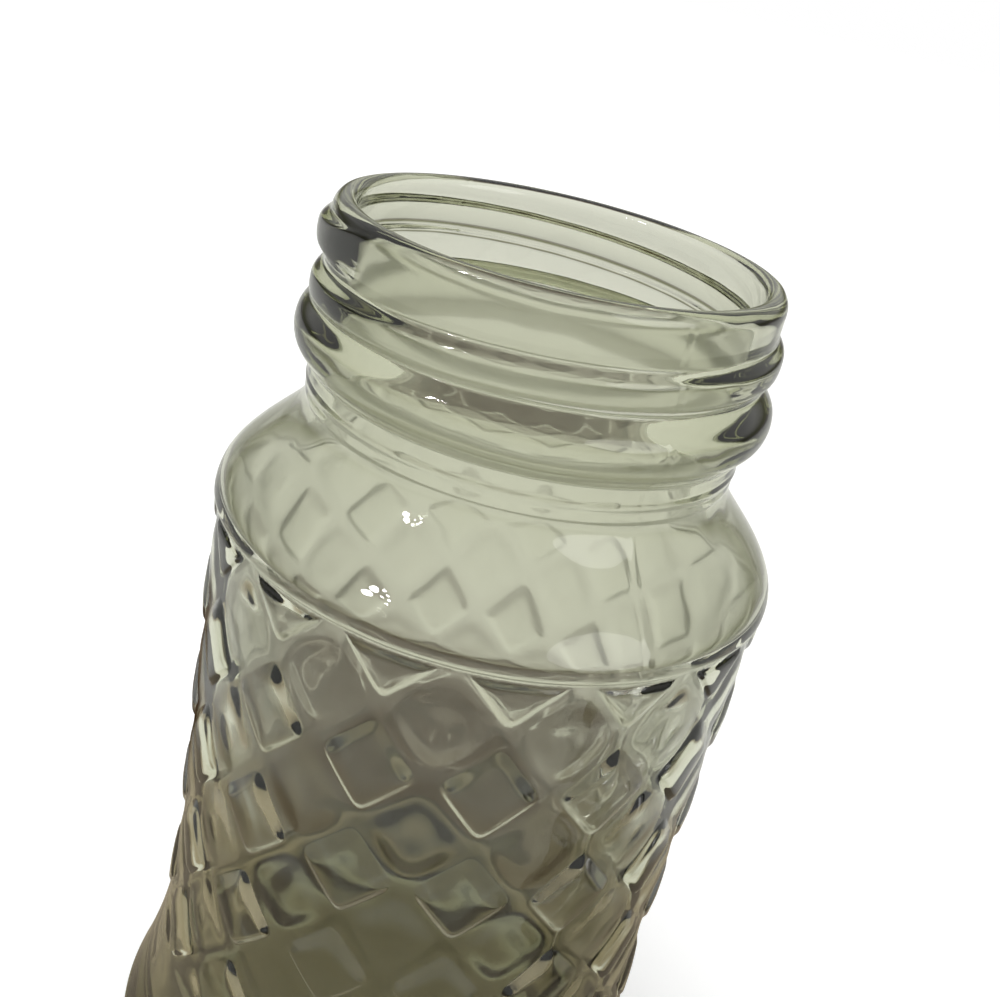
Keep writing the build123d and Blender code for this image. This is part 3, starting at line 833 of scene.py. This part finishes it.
    def upper_rings(self, angles: Array) -> list[Array]:
        """Rings from the shoulder's step over the rim down to the floor inside.

        Args:
            angles: Angles of the ring's points from +X, in degrees.

        Returns:
            One array of (radius, height) for each ring.
        """
        step = self.shoulder_radius - self.body_radius
        places = [
            (self.body_radius + step * out, self.pattern_top + self.shoulder_step * up)
            for out, up in self.step_profile
        ]
        places += [self.shoulder_point(share) for share in steps(1.0, 0.0, self.shoulder_rings)]
        count = len(angles)
        inside = level_rings(count, self._inner_places())
        return level_rings(count, places) + self._neck_rings(angles) + inside

    def _neck_rings(self, angles: Array) -> list[Array]:
        """Rings up the neck and over the outer half of the rim, with thread and bead.

        Args:
            angles: Angles of the ring's points from +X, in degrees.

        Returns:
            One array of (radius, height) for each ring.
        """
        base = self.height - self.neck_base_drop
        brow = self.height - self.rim_round_height
        rows = int((brow - base) / self.neck_row)
        places = [(self.neck_radius, z, 1.0) for z in steps(base, brow, rows)]
        for turn in quarter_turn(self.rim_rings):
            radius = self.neck_radius - self.rim_round * (1 - math.cos(turn))
            places.append((radius, brow + self.rim_round_height * math.sin(turn), math.cos(turn)))
        rings = level_rings(len(angles), [(radius, z) for radius, z, _ in places])
        for ring, (_, _, share) in zip(rings, places):
            ring[:, 0] += self.neck_relief(angles, self.height - ring[:, 1]) * share
        return rings

    def _inner_places(self) -> list[Pair]:
        """Rings over the inner half of the rim and down to the floor inside.

        Returns:
            The radius and the height of each.
        """
        mouth = self.neck_radius - self.wall
        brow = self.height - self.rim_round
        lip = [
            (mouth + self.rim_round * (1 - math.sin(turn)), brow + self.rim_round * math.cos(turn))
            for turn in [0.0, *quarter_turn(self.lip_rings)]
        ]
        shoulder = [
            self.shoulder_point(share, self.wall)
            for share in [0.0, *steps(0.0, 1.0, self.inner_shoulder_rings)]
        ]
        bore = [(mouth, z) for z in steps(brow, shoulder[0][1], self.inner_neck_rings)[:-1]]
        low = self.floor_height + self.floor_round
        high = self.pattern_top - 2 * self.wall
        body = [
            (float(self.body_radius_at(z)) - self.wall, z)
            for z in [high, *steps(high, low, self.inner_body_rings)]
        ]
        bore = [(radius - self.wall_swell(z), z) for radius, z in bore + shoulder + body]
        edge = float(self.body_radius_at(low)) - self.wall
        level = edge - self.floor_round
        floor = [
            (
                edge - self.floor_round * (1 - math.cos(turn)),
                low - self.floor_round * math.sin(turn),
            )
            for turn in quarter_turn(self.floor_rings)
        ]
        shares = steps(1.0, 0.0, self.floor_rings)[:-1]
        floor += [(level * share, self.floor_height) for share in shares]
        return lip + bore + floor

    def lower_places(self) -> list[Pair]:
        """Rings from the pattern's lower edge round the flange to the foot's recess.

        Returns:
            The radius and the height of each.
        """
        heel = self.flange_height
        heights = steps(self.pattern_end_height, heel, self.flare_rings)
        places = [(float(self.body_radius_at(z)), z) for z in heights]
        places += [
            (self.flange_radius - heel * (1 - math.cos(turn)), heel * (1 - math.sin(turn)))
            for turn in quarter_turn(self.heel_rings)
        ]
        foot, recess = self.flange_radius - heel, self.foot_recess_radius
        places += [(radius, 0.0) for radius in steps(foot, recess, self.foot_rings)]
        roof = recess - self.foot_recess_slope
        places += [
            (recess - self.foot_recess_slope * share, self.foot_recess_height * ease(share))
            for share in steps(0.0, 1.0, self.recess_rings)
        ]
        shares = steps(1.0, 0.0, self.roof_rings)[:-1]
        places += [(roof * share, self.foot_recess_height) for share in shares]
        return places

    def build_mesh(self) -> Mesh:
        """Builds the closed mesh of the glass.

        Returns:
            The mesh, in metres in the row frame.
        """
        flat, faces = self.lattice()
        columns = self.pad_columns
        u, v = flat[:, 0], flat[:, 1]
        z = self.pattern_top + self.pad_row_lift - v * self.pad_row_pitch
        angle = self.pad_first_angle + u * 360.0 / columns
        radius = self.body_radius_at(z) + self.pad_relief(u + v, u - v, z)
        start = np.where(u < 1e-5)[0]
        twin = {
            int(i): int(start[np.argmin(np.abs(v[start] - v[i]))])
            for i in np.where(u > columns - 1e-5)[0]
        }
        points = [np.stack([angle, radius, z], axis=1)]
        polygons = [tuple(twin.get(i, i) for i in face) for face in faces]
        total = len(flat)
        angles = self.pad_first_angle + np.arange(self.ring_points) * 360.0 / self.ring_points
        for edge_z, upper in ((self.pattern_top, True), (self.pattern_end_height, False)):
            edge = [i for i in range(len(flat)) if abs(z[i] - edge_z) < 1e-4 and i not in twin]
            edge.sort(key=lambda i: u[i])
            previous = np.array(edge)
            if upper:
                rings = self.upper_rings(angles)
            else:
                rings = level_rings(len(angles), self.lower_places())
            for i, ring in enumerate(rings):
                current = np.arange(total, total + len(angles))
                points.append(np.column_stack([angles, ring]))
                total += len(angles)
                if i == 0:
                    polygons += self._zip(previous, angle[edge], current, angles, not upper)
                else:
                    polygons += self._strip(previous, current, flip=not upper)
                previous = current
            points.append(np.array([[0.0, 0.0, ring[0, 1]]]))
            for a, b in zip(previous.tolist(), np.roll(previous, -1).tolist()):
                polygons.append((a, b, total) if upper else (b, a, total))
            total += 1
        return self._to_mesh(np.concatenate(points), polygons)

    @staticmethod
    def _zip(
        low: Array, low_angles: Array, high: Array, high_angles: Array, flip: bool
    ) -> list[Face]:
        """Triangles between two rings whose points are at different angles.

        Args:
            low: Indices of the first ring, by rising angle.
            low_angles: Their angles.
            high: Indices of the second ring, by rising angle.
            high_angles: Their angles.
            flip: Turns the triangles over.

        Returns:
            The triangles.
        """
        low_at = np.append(low_angles, low_angles[0] + 360.0)
        high_at = np.append(high_angles, high_angles[0] + 360.0)
        triangles = []
        i = j = 0
        while i < len(low) or j < len(high):
            a, b = int(low[i % len(low)]), int(high[j % len(high)])
            if j == len(high) or (i < len(low) and low_at[i + 1] <= high_at[j + 1]):
                i += 1
                face = (a, int(low[i % len(low)]), b)
            else:
                j += 1
                face = (a, int(high[j % len(high)]), b)
            triangles.append(face[::-1] if flip else face)
        return triangles

    @staticmethod
    def _strip(low: Array, high: Array, flip: bool) -> list[Face]:
        """Quads between two rings with as many points.

        Args:
            low: Indices of the first ring.
            high: Indices of the second ring.
            flip: Turns the quads over.

        Returns:
            The quads.
        """
        quads = np.stack([low, np.roll(low, -1), np.roll(high, -1), high], axis=1)
        if flip:
            quads = quads[:, ::-1]
        return [tuple(q) for q in quads.tolist()]

    def inner_echo(self, angle: Array, z: Array) -> Array:
        """Shallow waves inside the wall, where the pads outside drew the glass.

        Args:
            angle: Angles from +X, in degrees.
            z: Heights above the foot.

        Returns:
            The relief at each point.
        """
        u = (angle - self.pad_first_angle) * self.pad_columns / 360.0
        row = self.row_of(z)
        wave = np.cos(2 * np.pi * (u + row)) * np.cos(2 * np.pi * (u - row))
        upper, lower = self.echo_fade
        fade = ease((self.pattern_top - z) / upper) * ease((z - self.pattern_end_height) / lower)
        return self.echo_height * wave * fade

    def ripples(self, xyz: Array, outside: Array) -> Array:
        """Soft unevenness of the pressed skin, deeper inside the jar.

        Args:
            xyz: Points of the skin.
            outside: Whether each point is on the outer skin.

        Returns:
            The unevenness at each point.
        """
        coarse, fine = self.ripple_scales
        values = np.empty(len(xyz))
        for i, (x, y, z) in enumerate(xyz):
            place = Vector((x, y, z * self.ripple_stretch))
            drift = Vector((0.0, 0.0, self.ripple_drift if outside[i] else 0.0))
            value = noise.noise(place * coarse + drift)
            values[i] = value + self.ripple_fine_share * noise.noise(place * fine - drift)
        return values * self.ripple * np.where(outside, 1.0, self.ripple_inside)

    def _to_mesh(self, cylinder: Array, polygons: list[Face]) -> Mesh:
        """Turns points into a mesh, with seams and soft ripples.

        Args:
            cylinder: Points as (angle, radius, height).
            polygons: Faces over them.

        Returns:
            The mesh.
        """
        angle, radius, z = cylinder.T
        turn = np.radians(angle)
        on_top = z > self.pattern_top - self.step_slack
        on_top &= radius > self.neck_radius - self.neck_slack
        outside = (radius > self.body_radius_at(z) - self.body_slack) | on_top
        bore = (~outside) & (z > self.floor_height + self.floor_round) & (z < self.pattern_top)
        relief = self.seam_relief(angle, radius) * outside
        relief = relief + np.where(bore, self.inner_echo(angle, z), 0.0)
        xyz = np.column_stack([radius * np.cos(turn), radius * np.sin(turn), z])
        still = (z < self.still_height) | (radius <= self.still_radius)
        moved = radius + relief + np.where(still, 0.0, self.ripples(xyz, outside))
        moved = np.minimum(moved, self.flange_radius - self.flange_margin)
        xyz = np.column_stack([moved * np.cos(turn), moved * np.sin(turn), z]) * MM
        mesh = bpy.data.meshes.new("jar_glass")
        mesh.from_pydata(xyz.tolist(), [], polygons)
        used = np.zeros(len(xyz), bool)
        used[[i for face in polygons for i in face]] = True
        work = bmesh.new()
        work.from_mesh(mesh)
        work.verts.ensure_lookup_table()
        loose = [work.verts[i] for i in np.where(~used)[0]]
        bmesh.ops.delete(work, geom=loose, context="VERTS")
        bmesh.ops.dissolve_degenerate(work, dist=self.shortest_edge * MM, edges=work.edges[:])
        bmesh.ops.recalc_face_normals(work, faces=work.faces[:])
        work.to_mesh(mesh)
        work.free()
        mesh.polygons.foreach_set("use_smooth", [True] * len(mesh.polygons))
        mesh.update()
        return mesh

    def build(self, glass: Material) -> Object:
        """Builds the jar, dresses it and lets it stand for its solid.

        Args:
            glass: Material of the jar.

        Returns:
            The jar's object.
        """
        obj = add_object("jar_glass", self.build_mesh())
        obj.data.materials.append(glass)
        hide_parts("jar")
        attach(obj, "jar")
        LOG.info("jar: %d points", len(obj.data.vertices))
        return obj


# ------------------------------------------------------------------ pouring top
class PouringTop:
    """The pouring top: its solids keep their shape and get their finishes."""

    nodes = {
        Finish.SPUN_CHROME: ("collar", "cover"),
        Finish.PRESSED_CHROME: (
            "spout", "lid", "hinge_bracket", "thumb_lever", "handle_saddle",
        ),
        Finish.STEEL: (
            "hinge_pin", "lid_spring", "handle_tang", "bracket_rivet_left",
            "bracket_rivet_right", "lever_rivet_left", "lever_rivet_right",
            "grip_rivet_upper", "grip_rivet_lower",
        ),
        Finish.SILICONE: ("collar_gasket", "lid_seal"),
        Finish.GRIP: ("grip_scale_left", "grip_scale_right", "thumb_pad"),
    }

    def dress(self, materials: dict[Finish, Material]) -> None:
        """Gives each solid of the top its finish.

        Args:
            materials: The material of each finish.
        """
        for finish, names in self.nodes.items():
            for name in names:
                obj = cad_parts[name]
                obj.data.materials.clear()
                obj.data.materials.append(materials[finish])
                LOG.info("%s: %s", name, finish.value)


# ------------------------------------------------------------------------ stage
@dataclass
class Stage:
    """Floor, lamps and the room. Lengths in metres, angles in degrees.

    To gloss and glass the floor has tones of its own, which are painted shade: a dark patch
    behind the jar, darker floor far away, and a painted shadow disc under the jar. The patch's
    tones are placed by distance over floor_reach.
    """

    floor_half: float = 60.0
    floor_plain: float = 0.92
    floor_roughness: float = 0.9
    floor_lift: Pair = (0.33, 0.44)
    floor_lift_edge: Pair = (0.3, 1.2)
    floor_lift_in_glass: float = 0.05
    floor_reach: float = 3.0
    # Painted shade for gloss and glass: a dark patch behind the jar and darker floor far away.
    painted_shade_tones: tuple[tuple[float, Triple], ...] = (
        (0.0135, (0.135, 0.09, 0.05)), (0.0165, (0.82, 0.825, 0.77)),
        (0.45, (0.82, 0.825, 0.77)), (0.8, (0.34, 0.32, 0.28)),
    )
    # Centre and squeeze of the painted shade patch behind the jar.
    shade_patch_centre: Triple = (-0.028, 0.092, 0.0)
    shade_patch_squeeze: Triple = (0.42, 1.0, 1.0)
    # Painted shadow under the jar, seen only by gloss and glass, and the radii where it fades out.
    painted_shadow_under: Triple = (0.54, 0.46, 0.36)
    painted_shadow_edge: Pair = (0.100, 0.128)
    diffuse_level: float = 0.62
    room: tuple[tuple[float, Triple], ...] = (
        (0.0, (0.24, 0.245, 0.165)), (0.06, (0.22, 0.22, 0.145)), (0.2, (0.74, 0.74, 0.69)),
        (1.0, (0.92, 0.92, 0.92)),
    )
    aim: Triple = (0.0, 0.0, 0.12)
    overhead_place: Triple = (-0.35, -0.25, 1.6)
    overhead_size: float = 0.9
    overhead_watts: float = 6.4
    window_place: Triple = (0.92, -0.72, 0.62)
    window_size: float = 0.9
    window_watts: float = 4.6
    spot_azimuth: float = -136.0
    spot_elevation: float = 40.0
    spot_distance: float = 1.25
    spots: tuple[tuple[float, float, float, float], ...] = (
        (2.6, 1.6, 0.074, 0.92), (2.9, -2.6, 0.080, 1.05), (-0.4, 4.2, 0.029, 0.12),
        (-2.6, 3.1, 0.028, 0.11), (-4.4, 1.0, 0.029, 0.12), (-1.6, 0.4, 0.026, 0.10),
        (-5.0, -2.2, 0.029, 0.12),
    )
    spot_size_through_glass: float = 0.03

    @staticmethod
    def _rays(bench: NodeBench) -> tuple[NodeSocket, NodeSocket]:
        """Masks of the rays from the camera, and of those off or through gloss."""
        path = bench.add("ShaderNodeLightPath").outputs
        gloss = bench.maths("MAXIMUM", path["Is Glossy Ray"], path["Is Transmission Ray"])
        return path["Is Camera Ray"], gloss

    def floor(self) -> Object:
        """Makes the pale floor.

        Returns:
            The floor's object.
        """
        mesh = bpy.data.meshes.new("studio_floor")
        half = self.floor_half
        mesh.from_pydata(
            [(-half, -half, 0), (half, -half, 0), (half, half, 0), (-half, half, 0)],
            [], [(0, 1, 2, 3)],
        )
        obj = add_object("studio_floor", mesh)
        material, bench, shader = new_material("studio_floor_paint")
        camera, gloss = self._rays(bench)
        place = bench.place()
        away = bench.vector_maths("LENGTH", place)["Value"]
        plain = (*(self.floor_plain,) * 3, 1.0)
        # Gloss and glass see the floor with painted shade and shadow; the camera sees it plain.
        tone_with_painted_shade = bench.mix(gloss, plain, self._painted_shade_in_glass(bench, place, away))
        lit = bench.spread(away, *self.floor_lift, *self.floor_lift_edge)
        seen = bench.maths("MULTIPLY", camera, lit)
        # Gloss and glass get no lift inside the painted shadow's edge, and a little lift beyond it.
        lift_beyond_shadow = bench.spread(away, 0.0, self.floor_lift_in_glass, *self.painted_shadow_edge)
        lift = bench.maths("MAXIMUM", seen, bench.maths("MULTIPLY", gloss, lift_beyond_shadow))
        bench.drive(
            shader, Base_Color=tone_with_painted_shade, Roughness=self.floor_roughness, Specular_IOR_Level=0.0,
            Emission_Color=WHITE, Emission_Strength=lift,
        )
        obj.data.materials.append(material)
        return obj

    def _painted_shade_in_glass(self, bench: NodeBench, place: NodeSocket, away: NodeSocket) -> NodeSocket:
        """Colour of the floor as gloss and glass show it, with painted shade and a painted shadow.

        Args:
            bench: Bench of the floor's material.
            place: Position on the floor.
            away: Distance from the jar's axis.

        Returns:
            The colour.
        """
        # Painted shade patch behind the jar and darker floor far away, by squeezed distance.
        moved = bench.vector_maths("SUBTRACT", place, self.shade_patch_centre)
        pressed = bench.vector_maths("MULTIPLY", moved["Vector"], self.shade_patch_squeeze)
        length = bench.vector_maths("LENGTH", pressed["Vector"])["Value"]
        shade_patch = bench.ramp(bench.maths("DIVIDE", length, self.floor_reach), self.painted_shade_tones)
        # Painted shadow multiplied in under the jar.
        under_shadow_mask = bench.spread(away, 1.0, 0.0, *self.painted_shadow_edge)
        return bench.mix(under_shadow_mask, shade_patch, (*self.painted_shadow_under, 1.0), blend_type="MULTIPLY")

    def surroundings(self) -> None:
        """White to the camera, a dim room under a pale ceiling to gloss and glass."""
        world = bpy.data.worlds.new("studio_world")
        bpy.context.scene.world = world
        world.use_nodes = True
        world.node_tree.nodes.clear()
        bench = NodeBench(world.node_tree)
        direction = bench.add("ShaderNodeTexCoord").outputs["Generated"]
        camera, gloss = self._rays(bench)
        level = (*(self.diffuse_level,) * 3, 1.0)
        plain = bench.mix(gloss, level, bench.ramp(bench.split(direction)["Z"], self.room))
        sky = bench.add("ShaderNodeBackground", Color=bench.mix(camera, plain, WHITE))
        bench.add("ShaderNodeOutputWorld", Surface=sky.outputs["Background"])

    def lamp(self, name: str, place: Vector | Triple, size: float, watts: float) -> Object:
        """Adds a round area lamp that points at the jar and isn't seen through glass.

        Args:
            name: Name of the lamp.
            place: Where it hangs.
            size: Its diameter.
            watts: Its power.

        Returns:
            The lamp's object.
        """
        data = bpy.data.lights.new(name, "AREA")
        data.shape, data.size, data.energy = "DISK", size, watts
        obj = add_object(name, data)
        obj.location = place
        obj.visible_transmission = False
        ray = Vector(self.aim) - Vector(place)
        obj.rotation_euler = ray.to_track_quat("-Z", "Y").to_euler()
        return obj

    def lamps(self) -> None:
        """Hangs a soft overhead lamp, a window and a cluster of small bright lamps."""
        overhead = self.lamp(
            "overhead_lamp", self.overhead_place, self.overhead_size, self.overhead_watts
        )
        overhead.visible_glossy = False
        self.lamp("window_lamp", self.window_place, self.window_size, self.window_watts)
        turn, rise = math.radians(self.spot_azimuth), math.radians(self.spot_elevation)
        out = Vector((math.sin(turn), math.cos(turn), 0.0))
        side = Vector((math.cos(turn), -math.sin(turn), 0.0))
        upright = Vector((0.0, 0.0, 1.0))
        centre = out * math.cos(rise) + upright * math.sin(rise)
        up = upright * math.cos(rise) - out * math.sin(rise)
        for i, (across, above, size, watts) in enumerate(self.spots):
            ray = centre + side * math.tan(math.radians(across))
            ray += up * math.tan(math.radians(above))
            place = Vector(self.aim) + ray.normalized() * self.spot_distance
            spot = self.lamp(f"ceiling_lamp_{i + 1}", place, size, watts)
            spot.visible_transmission = size < self.spot_size_through_glass

    def build(self) -> None:
        """Builds floor, surroundings and lamps."""
        self.floor()
        self.surroundings()
        self.lamps()
        LOG.info("stage: floor and lamps")


@dataclass
class ViewCamera:
    """Camera over the jar, tilted down and rolled, aimed from the rim. Lengths in mm."""

    image_width: int = 1000
    sensor_width: float = 36.0
    focal_pixels: float = 1118.9
    clip_start: float = 5.0
    elevation: float = 25.352
    roll: float = 13.588
    shift_right: float = 8.53
    shift_down: float = -34.43
    distance: float = 145.77
    rim_height: float = 150.0

    def build(self) -> Object:
        """Makes the camera and sets it as the scene's.

        Returns:
            The camera's object.
        """
        tilt, roll = math.radians(self.elevation), math.radians(self.roll)
        forward = Vector((0.0, math.cos(tilt), -math.sin(tilt)))
        right = Vector((1.0, 0.0, 0.0))
        down = right.cross(forward) * -1.0
        image_right = right * math.cos(roll) - down * math.sin(roll)
        image_down = right * math.sin(roll) + down * math.cos(roll)
        rows = Matrix((image_right, image_down, forward))
        offset = Vector((self.shift_right, self.shift_down, self.distance))
        centre = rows.transposed() @ offset * -1.0 + Vector((0.0, 0.0, self.rim_height))
        data = bpy.data.cameras.new("view_camera")
        data.sensor_width = self.sensor_width
        data.lens = self.focal_pixels * self.sensor_width / self.image_width
        data.clip_start = self.clip_start * MM
        obj = add_object("view_camera", data)
        turn = Matrix((image_right, image_down * -1.0, forward * -1.0)).transposed()
        obj.matrix_world = Matrix.Translation(centre * MM) @ turn.to_4x4()
        bpy.context.scene.camera = obj
        LOG.info("camera at %s", tuple(round(c, 4) for c in obj.location))
        return obj


# ------------------------------------------------------------------------- main
def finishes() -> dict[Finish, Material]:
    """Builds every material of the set.

    Returns:
        The material of each finish.
    """
    chrome = (0.80, 0.80, 0.81)
    kinds = (
        Metal(
            Finish.SPUN_CHROME, chrome, roughness=(0.05, 0.16), scratches=0.4,
            groove_depth=0.6, axis_point=COLLAR_AXIS,
        ),
        Metal(Finish.PRESSED_CHROME, chrome, roughness=(0.05, 0.17), scratches=0.5),
        Metal(Finish.STEEL, (0.52, 0.52, 0.53), roughness=(0.22, 0.34), scratches=0.35),
        MouldedSkin(
            Finish.SILICONE, (0.80, 0.78, 0.73), colour_worn=(0.72, 0.70, 0.64),
            roughness=(0.42, 0.58), grain_scale=700.0, subsurface=0.25,
        ),
        MouldedSkin(
            Finish.GRIP, (0.022, 0.022, 0.024), colour_worn=(0.030, 0.030, 0.031),
            roughness=(0.33, 0.40), grain_scale=1500.0, coat=0.08,
        ),
    )
    kit = GroupKit()
    made = {Finish.GLASS: PressedGlass().build(kit)}
    return made | {kind.finish: kind.build(kit) for kind in kinds}


def main() -> None:
    """Builds the whole scene in order."""
    logging.basicConfig(level=logging.INFO, format="%(message)s")
    bpy.context.scene.view_settings.view_transform = "Standard"
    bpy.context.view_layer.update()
    ViewCamera().build()
    materials = finishes()
    GlassJar().build(materials[Finish.GLASS])
    PouringTop().dress(materials)
    Stage().build()


if __name__ == "__main__":
    main()
